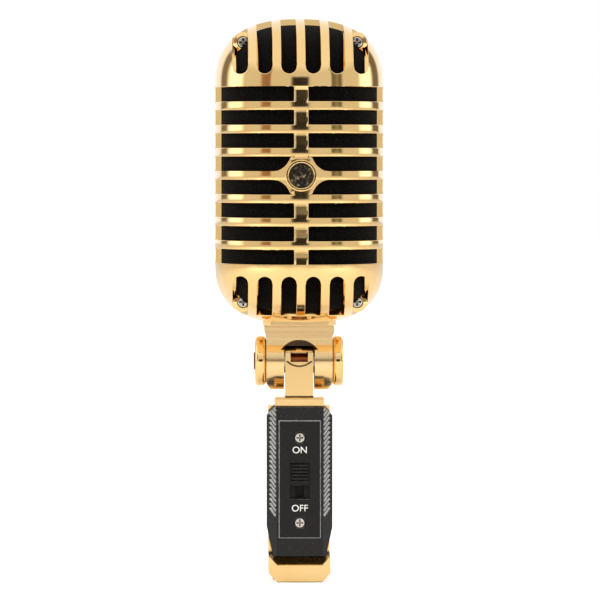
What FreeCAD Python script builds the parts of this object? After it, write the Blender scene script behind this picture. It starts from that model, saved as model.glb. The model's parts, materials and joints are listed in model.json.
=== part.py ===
import FreeCAD, Part
import math
import os

# Retro stage microphone on a tilting swivel.  Millimetres, +Z up, +X to the right as seen from the
# front, and the front looks along -Y.  The origin is the centre of the stand thread on the bottom face.

V = FreeCAD.Vector

# ---- head housing: two half shells, ribbed by rows of slots ----
head_half_width = 28.0
head_half_depth = 39.0
head_roundness = 2.5          # exponent of the superellipse that shapes the plan and the domes
head_wall = 2.1
crown_rise = 22.7             # height of the upper dome
lower_dome_rise = 20.5        # height that the lower dome would have as a full dome
lower_dome_height = 19.1      # where the lower dome is cut flat
slot_rows = 8
slot_pitch = 7.6
slot_height = 4.75
slot_zone_margin = 0.225      # plain wall between the end rows and the domes
centre_bar_width = 4.7
seam_band = 6.0               # unslotted band round the seam, both halves together
seam_recess = 0.35            # the band lies this far below the ribs
seam_gap = 0.1                # between the two half shells
fin_slots = 6                 # upright slots in each dome
fin_slot_width = 5.0
fin_slot_pitch = 7.9
upper_fin_start = 4.0         # above the start of the upper dome
lower_fin_start = 3.8         # below the start of the lower dome
lower_fin_end = 17.0
dome_sections = 8

# ---- corner screws that join the half shells ----
corner_screw_inset = 9.25      # corner screws, in from the side of the head
upper_corner_rise = 14.5      # above the start of the upper dome
lower_corner_drop = 12.5      # below the start of the lower dome
corner_boss_radius = 3.4
corner_boss_recess = 19.0      # front face of the boss, behind the front of the head
corner_head_radius = 1.9
corner_head_thickness = 1.1
corner_shank_radius = 1.1
corner_screw_length = 26.0

# ---- medallion on the middle of the front ----
badge_radius = 5.2
badge_disc_radius = 4.1
badge_recess = 1.0
badge_proud = 0.4
badge_disc_step = 0.25         # front of the disc, behind the front of the ring
badge_rounding = 0.35
flare_radius = 6.35           # the four arcs that flare the cross of bars out to the medallion
flare_x = 9.7
flare_z = 7.7

# ---- foam liner ----
foam_thickness = 4.0
foam_gap = 0.25

# ---- capsule: axis along Y ----
capsule_radius = 16.0
capsule_wall = 1.5
capsule_front = -13.0
capsule_depth = 26.0
capsule_cap_depth = 2.6
capsule_cap_wall = 1.0
diaphragm_inset = 0.9          # inside the wall of the capsule
diaphragm_thickness = 0.4
diaphragm_dome_rise = 1.6
diaphragm_gap = 0.8           # free travel in front of and behind the diaphragm
coil_inner_radius = 9.5
coil_thickness = 0.6
coil_length = 4.0
coil_clearance = 0.3
pole_thickness = 2.0
magnet_radius = 8.6
magnet_thickness = 5.0
magnet_lip = 3.0               # depth of the seat for the magnet cup in the body
vent_count = 6
vent_radius = 1.5
vent_circle_radius = 9.0
cap_hole_radius = 1.3
cap_hole_rings = 3             # circles of holes round the middle one, six more in each
cap_hole_margin = 0.6          # between the outer holes and the wall
cup_wall = 2.2
cup_base = 2.0
web_thickness = 1.6
isolator_thickness = 2.4
isolator_width = 8.0
bracket_thickness = 1.2
bracket_ring_width = 6.0
bracket_stem_width = 10.0
bracket_foot_width = 17.0
bracket_foot_depth = 19.0
lead_slot_height = 8.0         # slot for the lead in the stem, above the foot

# ---- swivel ----
ear_lift = 2.3                # underside of the ears above the shoulder of the handle
pivot_bolt_radius = 2.5
yoke_half_width = 11.6
ear_half_width = 11.0
block_half_depth = 7.7         # flat upper part of the yoke
ear_radius = 9.5               # the rounded ears stand out from the flat part
yoke_rise = 11.7              # pivot axis to the shadow groove
groove_height = 0.5
groove_depth = 0.6
flange_thickness = 1.5
flange_half_width = 12.05
flange_half_depth = 12.0
flange_corner = 2.5
passage_ceiling = 2.0          # behind the pivot, above its axis
relief_gap = 0.25              # round room for the top of the tongue
arch_half_width = 6.2
arch_springing = 4.0           # above the pivot axis
arch_crown = 7.3
arch_back = -3.0               # back wall of the arched recess
ear_chamfer_width = 1.4        # sloped lower outer corners of the ears
ear_chamfer_height = 2.4
tongue_half_width = 4.65
tongue_half_depth = 4.5
tongue_top = 4.5               # above the pivot axis
tongue_rounding = 1.6
washer_thickness = 0.4
washer_radius = 4.0
groove_arc_radius = 5.8        # curved line across the tongue under the window
groove_arc_low = 1.6           # lowest point of the line, below the pivot axis
groove_arc_high = 0.1
groove_arc_width = 0.6
groove_arc_depth = 0.7
ear_step = 1.8                # height of the slope from the block of the yoke to its thinner ears
pivot_cap_radius = 8.3
pivot_cap_thickness = 3.6
pivot_cap_rounding = 1.2
bolt_head_radius = 3.0
bolt_head_thickness = 2.2
bolt_head_proud = 0.5
bolt_head_rounding = 0.5
bolt_end_inset = 0.3           # end of the bolt, inside the face of the nut
nut_radius = 3.6
nut_thickness = 2.4
yoke_screw_x = 5.0
yoke_screw_y = 5.2
yoke_screw_radius = 1.2
yoke_screw_head_radius = 2.2
yoke_screw_head_thickness = 1.3
yoke_screw_bite = 4.0

# ---- handle casting ----
handle_half_width = 10.25
handle_corner = 2.9
handle_front = -14.0
handle_back = 20.0
handle_wall = 2.2
shoulder_half_width = 8.15
shoulder_half_depth = 9.5
shoulder_height = 3.0
shoulder_rounding = 0.6
back_slope_drop = 9.0
foot_face_height = 5.6
foot_height = 8.7
core_half_width = 7.0
core_overlap = 5.0             # the rib runs this far into the column
tongue_window_half_width = 2.9
tongue_window_height = 3.5
tongue_window_drop = 0.2      # lower edge of the window below the pivot axis

# ---- switch cover, plate and slider ----
cover_height = 49.4
cover_half_width = 10.9
cover_back = -1.0
cover_wall = 1.5
cover_corner = 3.2
cover_top_half_width = 8.0
cover_top_chamfer = 2.9
cover_bottom_half_width = 8.85
cover_taper_height = 9.0
cover_lip = 0.5
serration_pitch = 1.58
serration_depth = 0.35
serration_count = 25
serration_width = 0.84         # share of the pitch
serration_half_length = 1.9
serration_shift = 0.6          # from the middle of the corner face towards the front face
serration_start = 14.9        # lowest serration above the foot of the cover, on the corner's middle line
plate_half_width = 7.15
plate_height = 39.4
plate_lift = 5.8              # bottom edge of the plate above the foot of the cover
plate_thickness = 0.8
plate_bevel = 0.35
plate_screw_sink_margin = 0.4  # round the heads
plate_screw_head_thickness = 0.9
plate_screw_inset_top = 5.9
plate_screw_inset_bottom = 5.3
plate_screw_head_radius = 1.6
plate_screw_shank_radius = 0.9
plate_screw_length = 7.0
window_half_width = 3.25
window_height = 12.5
window_lift = 13.1            # bottom of the window above the bottom edge of the plate
knob_half_width = 2.7
knob_height = 6.6
knob_proud = 1.5
knob_ridges = 6
knob_valley_width = 0.6        # share of the pitch
knob_valley_depth = 0.6
knob_skirt_margin = 1.4
knob_skirt_thickness = 0.8
switch_travel = 5.5
switch_half_width = 4.0
switch_length = 22.0
switch_depth = 5.0
switch_room = 0.5              # room round the switch and the skirt of the slider
switch_slot_half_width = 1.4
switch_slot_depth = 2.2
stem_half_width = 1.2
stem_depth = 2.0
stem_half_height = 1.5
terminal_size = 0.8
terminal_length = 3.0
terminal_spacing = 4.0

# ---- cable socket and stand thread ----
socket_height = 14.2
socket_radius = 9.5
socket_bore_radius = 8.15
socket_end = 34.0
socket_insert_front = 13.5
socket_insert_depth = 5.0
socket_room_radius = 6.0      # behind the insert, for the tails of the pins
socket_room_depth = 4.0
pin_tail = 3.0
lead_way_radius = 2.5
pin_radius = 1.18
pin_circle_radius = 4.065
pin_recess = 1.5
pin_rounding = 0.6
socket_rounding = 0.5
socket_key_drop = 6.0          # the grub screw clears the insert up to here, below the middle
socket_screw_inset_z = 1.0     # its slotted end, above the bottom face
socket_screw_bite = 1.5
socket_screw_slot_width = 0.4
socket_screw_slot_depth = 0.6
socket_screw_radius = 1.0
socket_screw_inset = 3.0      # forward of the back face
stand_bore_radius = 7.45
stand_insert_radius = 8.8
stand_insert_length = 8.5
stand_stud_room_radius = 5.0
stand_stud_room = 4.5         # above the insert, for the end of a stand's stud

# ---- leads ----
lead_radius = 0.9
lead_bend_radius = 5.0
lead_hole_radius = 1.2
capsule_lead_drop = 4.0        # exit from the capsule, below its middle
capsule_lead_straight = 4.0    # straight run before the first bend
capsule_lead_turn = 14.0       # height of the lower bend above the foot of the bracket
capsule_lead_end = 6.0         # end of the lead at the slot, above the foot of the bracket
capsule_lead_gap = 1.2         # between the end of the lead and the stem
handle_lead_gap = 1.0          # between the terminals and the lead

# ---- fits ----
seat_clearance = 0.05         # radial, pieces that sit in a pocket of the same body
slide_clearance = 0.1         # on each side of a moving piece with flat faces
turn_clearance = 0.05         # radial, shafts that turn
thread_clearance = 0.02       # radial, screws in their holes

# ---- cutters ----
past = 1.0                    # a cutter runs this far past the face that it goes through
touch = 0.01                  # tolerance when an edge is picked by its place
screw_cross_reach = 0.72      # arm of the cross in a screw head, share of the head radius
screw_cross_width = 0.42      # share of the arm
screw_cross_depth = 0.6       # share of the head thickness
screw_head_rounding = 0.45    # share of the head thickness

# ---- places that follow from the sizes above ----
clear = 3 * head_half_depth   # cutters that must reach right outside start this far away
handle_top = foot_height + cover_height
shoulder_top = handle_top + shoulder_height
pivot_height = shoulder_top + ear_lift + ear_radius
passage_half_width = tongue_half_width + washer_thickness + seat_clearance
tongue_corner = math.hypot(tongue_half_depth - tongue_rounding, tongue_top - tongue_rounding)
relief_radius = tongue_corner + tongue_rounding + relief_gap
corner_screw_x = head_half_width - corner_screw_inset
corner_boss_depth = head_half_depth - corner_boss_recess
yoke_top = pivot_height + yoke_rise
flange_bottom = yoke_top + groove_height
head_base = flange_bottom + flange_thickness
straight_half = (slot_rows - 1) / 2 * slot_pitch + slot_height / 2 + slot_zone_margin
head_middle = head_base + lower_dome_height + straight_half
upper_dome_start = head_middle + straight_half
lower_dome_start = head_middle - straight_half
upper_corner_z = upper_dome_start + upper_corner_rise
lower_corner_z = lower_dome_start - lower_corner_drop
cover_front = handle_front
plate_bottom = foot_height + plate_lift
plate_top = plate_bottom + plate_height
window_bottom = plate_bottom + window_lift
window_top = window_bottom + window_height
knob_top = window_top - slide_clearance
diaphragm_radius = capsule_radius - capsule_wall - diaphragm_inset
diaphragm_back = capsule_front + diaphragm_gap + diaphragm_thickness
pole_front = diaphragm_back + diaphragm_gap
cup_bore_radius = coil_inner_radius + coil_thickness + coil_clearance
cup_radius = cup_bore_radius + cup_wall
magnet_front = pole_front + pole_thickness
cup_back = magnet_front + magnet_thickness + cup_base
isolator_radius = capsule_radius + seat_clearance + isolator_thickness
ring_inner_radius = isolator_radius + seat_clearance
ring_radius = ring_inner_radius + bracket_thickness
head_floor = head_base + head_wall
foot_top = head_floor + bracket_thickness
switch_middle = window_bottom + window_height / 2
switch_front = cover_front + cover_wall + knob_skirt_thickness + 2 * slide_clearance
switch_back = switch_front + switch_depth
cap_inner = ear_half_width + seat_clearance
socket_screw_y = handle_back - socket_screw_inset
lead_drop_y = socket_insert_front - socket_room_depth / 2
cap_outer = cap_inner + pivot_cap_thickness


# ---- plain shapes ----
def box(x0, x1, y0, y1, z0, z1):
    return Part.makeBox(x1 - x0, y1 - y0, z1 - z0, V(x0, y0, z0))


def rod_x(radius, x0, x1, y=0.0, z=0.0):
    return Part.makeCylinder(radius, x1 - x0, V(x0, y, z), V(1, 0, 0))


def rod_y(radius, y0, y1, x=0.0, z=0.0):
    return Part.makeCylinder(radius, y1 - y0, V(x, y0, z), V(0, 1, 0))


def rod_z(radius, z0, z1, x=0.0, y=0.0):
    return Part.makeCylinder(radius, z1 - z0, V(x, y, z0), V(0, 0, 1))


def prism(corners, direction):
    outline = Part.makePolygon(corners + [corners[0]])
    return Part.Face(outline).extrude(direction)


def prism_x(yz, x0, x1):
    return prism([V(x0, y, z) for y, z in yz], V(x1 - x0, 0, 0))


def prism_y(xz, y0, y1):
    return prism([V(x, y0, z) for x, z in xz], V(0, y1 - y0, 0))


def prism_z(xy, z0, z1):
    return prism([V(x, y, z0) for x, y in xy], V(0, 0, z1 - z0))


def mirror_pairs(half):
    """Close an outline given by its right-hand points, from top to bottom."""
    return half + [(-x, z) for x, z in reversed(half)]


def fused(shapes):
    return shapes[0].fuse(shapes[1:]).removeSplitter()


def tube(points, radius, bend):
    """A round lead along straight runs that are joined by tangent arcs."""
    edges = []
    start = points[0]
    for before, corner, after in zip(points, points[1:], points[2:]):
        into = (corner - before).normalize()
        out = (after - corner).normalize()
        turn = into.getAngle(out)
        reach = bend * math.tan(turn / 2)
        arc_start = corner - into * reach
        arc_end = corner + out * reach
        inward = (out - into).normalize()
        centre = corner + inward * (bend / math.cos(turn / 2))
        arc_middle = centre - inward * bend
        edges.append(Part.LineSegment(start, arc_start).toShape())
        edges.append(Part.Arc(arc_start, arc_middle, arc_end).toShape())
        start = arc_end
    edges.append(Part.LineSegment(start, points[-1]).toShape())
    section = Part.Wire(Part.makeCircle(radius, points[0], points[1] - points[0]))
    return Part.Wire(edges).makePipeShell([section], True, False)


def cross_recess(x, y, z, reach, depth):
    """Cutter for the cross in a screw head that faces the front."""
    bar = reach * screw_cross_width
    flat = box(x - reach, x + reach, y - depth, y + depth, z - bar / 2, z + bar / 2)
    upright = box(x - bar / 2, x + bar / 2, y - depth, y + depth, z - reach, z + reach)
    return flat.fuse(upright)


def front_screw(x, y, z, head_radius, head_thickness, shank_radius, length):
    """A screw that enters from the front; y is the front of its slightly domed head."""
    head = rod_y(head_radius, y, y + head_thickness, x, z)
    rim = [edge for edge in head.Edges if abs(edge.BoundBox.YMax - y) < touch]
    head = head.makeFillet(head_thickness * screw_head_rounding, rim[:1])
    shank = rod_y(shank_radius, y + head_thickness, y + length, x, z)
    cross = cross_recess(x, y, z, head_radius * screw_cross_reach, head_thickness * screw_cross_depth)
    return fused([head, shank]).cut(cross)


# ---- head housing ----
def superellipse(half_width, half_depth, z):
    """Closed wire of the plan outline at one height."""
    count = 32
    power = 2 / head_roundness
    points = []
    for i in range(count):
        angle = 2 * math.pi * i / count
        across = math.copysign(abs(math.cos(angle)) ** power, math.cos(angle))
        along = math.copysign(abs(math.sin(angle)) ** power, math.sin(angle))
        points.append(V(half_width * across, half_depth * along, z))
    curve = Part.BSplineCurve()
    steps = [i / count for i in range(count + 1)]
    curve.interpolate(Points=points, PeriodicFlag=True, Parameters=steps)
    return Part.Wire(curve.toShape())


def dome_stations(rise, last_angle):
    """Pairs of plan scale and height, from the straight zone towards the top of a dome."""
    power = 2 / head_roundness
    angles = [last_angle * i / dome_sections for i in range(1, dome_sections + 1)]
    return [(math.cos(a) ** power, rise * math.sin(a) ** power) for a in angles]


def head_form(inset):
    """The whole head as a solid, with every wall moved inwards by inset."""
    half_width = head_half_width - inset
    half_depth = head_half_depth - inset
    lower_rise = lower_dome_rise - inset
    cut = (lower_dome_height - inset) / lower_rise
    lower_end = math.asin(cut ** (head_roundness / 2))
    lower = dome_stations(lower_rise, lower_end)
    upper = dome_stations(crown_rise - inset, math.radians(80))
    stations = [(scale, -straight_half - drop) for scale, drop in reversed(lower)]
    stations += [(1.0, straight_half * k) for k in (-1, -0.5, 0, 0.5, 1)]
    stations += [(scale, straight_half + rise) for scale, rise in upper]
    wires = [superellipse(half_width * s, half_depth * s, head_middle + z) for s, z in stations]
    return Part.makeLoft(wires, True, False)


def fin_slot(x, z0, z1, round_top):
    """An upright slot, open at one end and round at the other."""
    radius = fin_slot_width / 2
    if round_top:
        body = box(x - radius, x + radius, -clear, 0, z0, z1 - radius)
        return body.fuse(rod_y(radius, -clear, 0, x, z1 - radius))
    body = box(x - radius, x + radius, -clear, 0, z0 + radius, z1)
    return body.fuse(rod_y(radius, -clear, 0, x, z0 + radius))


def row_slots():
    """The level slots of one half, as cutters from the front to the seam band."""
    cutters = []
    for row in range(slot_rows):
        z = head_middle + (row - (slot_rows - 1) / 2) * slot_pitch
        for side in (-1, 1):
            edges = sorted((side * centre_bar_width / 2, side * clear))
            cutters.append(box(edges[0], edges[1], -clear, -seam_band / 2,
                               z - slot_height / 2, z + slot_height / 2))
    return cutters


def fin_slots_cutters():
    """The upright slots of both domes of one half."""
    cutters = []
    for k in range(fin_slots):
        x = (k - (fin_slots - 1) / 2) * fin_slot_pitch
        upper = fin_slot(x, upper_dome_start + upper_fin_start,
                         upper_dome_start + crown_rise + past, False)
        lower = fin_slot(x, lower_dome_start - lower_fin_end,
                         lower_dome_start - lower_fin_start, True)
        keep_seam = box(-clear, clear, -clear, -seam_band / 2, 0, upper_dome_start + clear)
        cutters += [upper.common(keep_seam), lower.common(keep_seam)]
    return cutters


def flare():
    """The four-pointed plate that carries the medallion, as a prism through the front wall."""
    plate = box(-flare_x, flare_x, -clear / 2, -corner_boss_depth, head_middle - flare_z,
                head_middle + flare_z)
    for sx in (-1, 1):
        for sz in (-1, 1):
            plate = plate.cut(rod_y(flare_radius, -clear, 0, sx * flare_x, head_middle + sz * flare_z))
    return plate


def corner_places():
    return [(sx * corner_screw_x, z) for sx in (-1, 1) for z in (upper_corner_z, lower_corner_z)]


def seam_cutter(form):
    """The skin that is taken off round the seam to recess its band."""
    slab = form.common(box(-clear, clear, -seam_band / 2, seam_band / 2, 0, head_middle + clear))
    core = head_form(seam_recess)
    return slab.cut(core)


def half_shell(with_badge):
    """The front half shell; the rear one is the same casting turned round, without the badge plate."""
    form = head_form(0)
    front = box(-clear, clear, -clear, -seam_gap / 2, 0, head_middle + clear)
    wall = form.cut(head_form(head_wall)).common(front)
    cutters = Part.makeCompound(row_slots() + fin_slots_cutters())
    if with_badge:
        cutters = cutters.cut(flare())
    wall = wall.cut(cutters)
    posts = []
    for x, z in corner_places():
        posts.append(rod_y(corner_boss_radius, -corner_boss_depth, -seam_gap / 2, x, z))
    posts = Part.makeCompound(posts).common(form)
    shell = wall.fuse(posts.Solids).cut(seam_cutter(form))
    return shell


def front_grille():
    shell = half_shell(True)
    recess_back = -head_half_depth + badge_recess
    shell = shell.cut(rod_y(badge_radius + seat_clearance, -clear, recess_back, 0, head_middle))
    seat = -corner_boss_depth + corner_head_thickness
    for x, z in corner_places():
        shell = shell.cut(rod_y(corner_shank_radius + thread_clearance, -clear, 0, x, z))
        shell = shell.cut(rod_y(corner_head_radius + seat_clearance, -clear, seat, x, z))
    return shell.cut(floor_holes())


def rear_grille():
    shell = half_shell(False)
    shell = shell.mirror(V(0, 0, 0), V(0, 1, 0))
    for x, z in corner_places():
        reach = corner_screw_length - corner_boss_depth + thread_clearance
        shell = shell.cut(rod_y(corner_shank_radius + thread_clearance, 0, reach, x, z))
    return shell.cut(floor_holes())


def floor_holes():
    """Holes through the flat base for the yoke screws and the lead."""
    holes = [rod_z(yoke_screw_radius + thread_clearance, head_base - past, head_floor + past, x, y)
             for x, y in yoke_screw_places()]
    holes.append(rod_z(lead_hole_radius, head_base - past, head_floor + past))
    return Part.makeCompound(holes)


def housing_screws():
    screws = []
    for x, z in corner_places():
        screws.append(front_screw(x, -corner_boss_depth, z, corner_head_radius, corner_head_thickness,
                                  corner_shank_radius, corner_screw_length))
    return Part.makeCompound(screws)


def badge_ring():
    back = -head_half_depth + badge_recess
    front = -head_half_depth - badge_proud
    ring = rod_y(badge_radius, front, back, 0, head_middle)
    ring = ring.cut(rod_y(badge_disc_radius, front - 1, back + 1, 0, head_middle))
    rim = [edge for edge in ring.Edges if abs(edge.BoundBox.YMax - front) < touch]
    return ring.makeFillet(badge_rounding, rim)


def badge_disc():
    back = -head_half_depth + badge_recess
    front = -head_half_depth - badge_proud + badge_disc_step
    return rod_y(badge_disc_radius - seat_clearance, front, back, 0, head_middle)


def foam(front_side):
    """Half of the foam liner, just inside the wall."""
    outer = head_form(head_wall + foam_gap)
    inner = head_form(head_wall + foam_gap + foam_thickness)
    liner = outer.cut(inner)
    side = -1 if front_side else 1
    near = sorted((side * foam_gap, side * clear))
    liner = liner.common(box(-clear, clear, near[0], near[1], 0, head_middle + clear))
    for x, z in corner_places():
        liner = liner.cut(rod_y(corner_boss_radius + foam_gap, -clear, clear, x, z))
    half_ring = bracket_ring_width / 2 + foam_gap
    around_ring = rod_y(ring_radius + foam_gap, -half_ring, half_ring, 0, head_middle)
    around_foot = box(-bracket_foot_width / 2 - foam_gap, bracket_foot_width / 2 + foam_gap,
                      -bracket_foot_depth / 2 - foam_gap, bracket_foot_depth / 2 + foam_gap,
                      head_base, head_floor + foam_gap + foam_thickness + past)
    return liner.cut([around_ring, around_foot])


# ---- capsule ----
def capsule_body():
    back = capsule_front + capsule_depth
    body = rod_y(capsule_radius, capsule_front, back, 0, head_middle)
    inner = capsule_radius - capsule_wall
    body = body.cut(rod_y(inner, capsule_front - past, cup_back, 0, head_middle))
    body = body.cut(rod_y(inner, cup_back + web_thickness, back - capsule_wall, 0, head_middle))
    lip = rod_y(inner, cup_back - magnet_lip, cup_back, 0, head_middle)
    lip = lip.cut(rod_y(cup_radius + seat_clearance, cup_back - magnet_lip - past, cup_back + past,
                        0, head_middle))
    vents = []
    for k in range(vent_count):
        angle = 2 * math.pi * k / vent_count
        vents.append(rod_y(vent_radius, cup_back - past, back + past, vent_circle_radius * math.cos(angle),
                           head_middle + vent_circle_radius * math.sin(angle)))
    return fused([body, lip]).cut(vents)


def capsule_grille():
    front = capsule_front - capsule_cap_depth
    cap = rod_y(capsule_radius, front, capsule_front, 0, head_middle)
    pocket = rod_y(capsule_radius - capsule_wall, front + capsule_cap_wall, capsule_front + past,
                   0, head_middle)
    holes = [rod_y(cap_hole_radius, front - past, capsule_front + past, 0, head_middle)]
    outer_circle = capsule_radius - capsule_wall - cap_hole_radius - cap_hole_margin
    for ring in range(1, cap_hole_rings + 1):
        count = 6 * ring
        radius = outer_circle * ring / cap_hole_rings
        for k in range(count):
            angle = 2 * math.pi * k / count
            holes.append(rod_y(cap_hole_radius, front - past, capsule_front + past,
                               radius * math.cos(angle), head_middle + radius * math.sin(angle)))
    return cap.cut(pocket).cut(holes)


def diaphragm():
    """A thin cone-edged dome; its crown stands towards the front."""
    back = diaphragm_back
    front = back - diaphragm_thickness
    middle = coil_inner_radius + coil_thickness / 2
    skin = [(0, front - diaphragm_dome_rise), (middle, front), (diaphragm_radius, front),
            (diaphragm_radius, back), (middle, back), (0, back - diaphragm_dome_rise)]
    outline = Part.makePolygon([V(r, y, head_middle) for r, y in skin + skin[:1]])
    return Part.Face(outline).revolve(V(0, 0, head_middle), V(0, 1, 0), 360)


def voice_coil():
    outer = coil_inner_radius + coil_thickness
    coil = rod_y(outer, diaphragm_back, diaphragm_back + coil_length, 0, head_middle)
    bore = rod_y(coil_inner_radius, diaphragm_back - past, diaphragm_back + coil_length + past,
                 0, head_middle)
    return coil.cut(bore)


def pole_piece():
    return rod_y(coil_inner_radius - coil_clearance, pole_front, magnet_front, 0, head_middle)


def magnet():
    return rod_y(magnet_radius, magnet_front, magnet_front + magnet_thickness, 0, head_middle)


def magnet_cup():
    cup = rod_y(cup_radius, pole_front, cup_back, 0, head_middle)
    return cup.cut(rod_y(cup_bore_radius, pole_front - past, cup_back - cup_base, 0, head_middle))


def capsule_isolator():
    ring = rod_y(isolator_radius, -isolator_width / 2, isolator_width / 2, 0, head_middle)
    return ring.cut(rod_y(capsule_radius + seat_clearance, -isolator_width, isolator_width,
                          0, head_middle))


def capsule_bracket():
    half_ring = bracket_ring_width / 2
    ring = rod_y(ring_radius, -half_ring, half_ring, 0, head_middle)
    stem = box(-bracket_stem_width / 2, bracket_stem_width / 2, -bracket_thickness / 2,
               bracket_thickness / 2, head_floor, head_middle - ring_inner_radius)
    foot = box(-bracket_foot_width / 2, bracket_foot_width / 2, -bracket_foot_depth / 2,
               bracket_foot_depth / 2, head_floor, foot_top)
    bracket = fused([ring, stem, foot])
    bracket = bracket.cut(rod_y(ring_inner_radius, -half_ring - past, half_ring + past, 0, head_middle))
    for x, y in yoke_screw_places():
        hole = rod_z(yoke_screw_radius + thread_clearance, head_floor - past, foot_top + past, x, y)
        bracket = bracket.cut(hole)
    return bracket.cut(rod_z(lead_hole_radius, head_floor - past, foot_top + lead_slot_height))


# ---- swivel ----
def yoke_screw_places():
    return [(sx * yoke_screw_x, sy * yoke_screw_y) for sx in (-1, 1) for sy in (-1, 1)]


def yoke_flange():
    w, d, c = flange_half_width, flange_half_depth, flange_corner
    outline = [(w, -d + c), (w, d - c), (w - c, d), (-w + c, d), (-w, d - c), (-w, -d + c),
               (-w + c, -d), (w - c, -d)]
    plate = prism_z(outline, flange_bottom, head_base)
    for x, y in yoke_screw_places():
        hole = rod_z(yoke_screw_radius + thread_clearance, flange_bottom - past, head_base + past, x, y)
        plate = plate.cut(hole)
    return plate.cut(rod_z(lead_hole_radius, flange_bottom - past, head_base + past))


def arch_recess():
    """The arched recess in the front of the yoke, over the top of the tongue."""
    w = arch_half_width
    spring = pivot_height + arch_springing
    left, right = V(-w, -clear, spring), V(w, -clear, spring)
    crown = V(0, -clear, pivot_height + arch_crown)
    edges = [Part.Arc(left, crown, right).toShape(), Part.LineSegment(right, left).toShape()]
    return Part.Face(Part.Wire(edges)).extrude(V(0, clear + arch_back, 0))


def passage():
    """The room between the ears: open to the front up to the arch, and lower behind the pivot."""
    w = passage_half_width
    bottom = pivot_height - ear_radius - past
    front = box(-w, w, -clear, 0, bottom, pivot_height + arch_springing)
    back = box(-w, w, 0, clear, bottom, pivot_height + passage_ceiling)
    relief = rod_x(relief_radius, -w, w, 0, pivot_height)
    return fused([front, back, relief])


def swivel_yoke():
    block = box(-yoke_half_width, yoke_half_width, -block_half_depth, block_half_depth,
                pivot_height, yoke_top)
    barrel = rod_x(ear_radius, -yoke_half_width, yoke_half_width, 0, pivot_height)
    ear_top = pivot_height + pivot_cap_radius + seat_clearance
    ear_bottom = pivot_height - ear_radius
    taper = prism_y(mirror_pairs([(yoke_half_width, yoke_top), (yoke_half_width, ear_top + ear_step),
                                  (ear_half_width, ear_top),
                                  (ear_half_width, ear_bottom + ear_chamfer_height),
                                  (ear_half_width - ear_chamfer_width, ear_bottom)]), -clear, clear)
    neck = box(-yoke_half_width + groove_depth, yoke_half_width - groove_depth,
               -block_half_depth + groove_depth, block_half_depth - groove_depth,
               yoke_top, flange_bottom)
    yoke = fused([block, barrel]).common(taper).fuse(neck)
    yoke = yoke.cut([arch_recess(), passage()])
    yoke = yoke.cut(rod_x(pivot_bolt_radius + thread_clearance, -clear, clear, 0, pivot_height))
    for x, y in yoke_screw_places():
        yoke = yoke.cut(rod_z(yoke_screw_radius + thread_clearance, flange_bottom - yoke_screw_bite,
                              flange_bottom + past, x, y))
    yoke = yoke.cut(rod_z(lead_hole_radius, pivot_height, flange_bottom + past))
    return yoke.removeSplitter()


def yoke_screws():
    screws = []
    for x, y in yoke_screw_places():
        shank = rod_z(yoke_screw_radius, flange_bottom - yoke_screw_bite, foot_top, x, y)
        head = rod_z(yoke_screw_head_radius, foot_top, foot_top + yoke_screw_head_thickness, x, y)
        screws.append(fused([shank, head]))
    return Part.makeCompound(screws)


def friction_washers():
    washers = []
    for side in (-1, 1):
        inner_face = side * (passage_half_width - washer_thickness)
        edges = sorted((inner_face, side * passage_half_width))
        washer = rod_x(washer_radius, edges[0], edges[1], 0, pivot_height)
        bore = rod_x(pivot_bolt_radius + turn_clearance, edges[0] - past, edges[1] + past, 0, pivot_height)
        washers.append(washer.cut(bore))
    return Part.makeCompound(washers)


def pivot_cap(side):
    """Turned side disc with a rounded rim; the bolt head or the nut sits in its middle."""
    edges = sorted((side * cap_inner, side * cap_outer))
    cap = rod_x(pivot_cap_radius, edges[0], edges[1], 0, pivot_height)
    cap = cap.makeFillet(pivot_cap_rounding, [e for e in cap.Edges if e.Curve.TypeId == "Part::GeomCircle"])
    pocket_radius = bolt_head_radius if side < 0 else nut_radius
    depth = bolt_head_thickness - bolt_head_proud if side < 0 else nut_thickness
    pocket = sorted((side * (cap_outer - depth), side * (cap_outer + past)))
    cap = cap.cut(rod_x(pocket_radius + seat_clearance, pocket[0], pocket[1], 0, pivot_height))
    return cap.cut(rod_x(pivot_bolt_radius + thread_clearance, -clear, clear, 0, pivot_height))


def pivot_bolt():
    head_outer = -cap_outer - bolt_head_proud
    head = rod_x(bolt_head_radius, head_outer, head_outer + bolt_head_thickness, 0, pivot_height)
    rim = [edge for edge in head.Edges if abs(edge.BoundBox.XMax - head_outer) < touch]
    head = head.makeFillet(bolt_head_rounding, rim[:1])
    shank = rod_x(pivot_bolt_radius, head_outer + bolt_head_thickness, cap_outer - bolt_end_inset,
                  0, pivot_height)
    return fused([head, shank])


def pivot_nut():
    corners = []
    for k in range(6):
        angle = math.radians(60 * k)
        corners.append((nut_radius * math.cos(angle), pivot_height + nut_radius * math.sin(angle)))
    nut = prism_x(corners, cap_outer - nut_thickness, cap_outer)
    bore = rod_x(pivot_bolt_radius + thread_clearance, cap_outer - nut_thickness - past, cap_outer + past,
                 0, pivot_height)
    return nut.cut(bore)


# ---- handle casting ----
def handle_octagon(front, half_width, corner):
    w, c = half_width, corner
    back = handle_back
    return [(w, front + c), (w, back - c), (w - c, back), (-w + c, back), (-w, back - c),
            (-w, front + c), (-w + c, front), (w - c, front)]


def tongue():
    """The blade that stands up between the ears of the yoke, with a curved line across its front."""
    w, d = tongue_half_width, tongue_half_depth
    top = box(-w, w, -d, d, pivot_height - d, pivot_height + tongue_top)
    top = top.makeFillet(tongue_rounding, [e for e in top.Edges if along_x(e) and
                                           e.BoundBox.ZMin > pivot_height])
    blade = box(-w, w, -d, d, handle_top, pivot_height)
    return fused([top, blade]).cut(tongue_line())


def along_x(edge):
    size = edge.BoundBox
    return size.XLength > touch and size.YLength < touch and size.ZLength < touch


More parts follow.
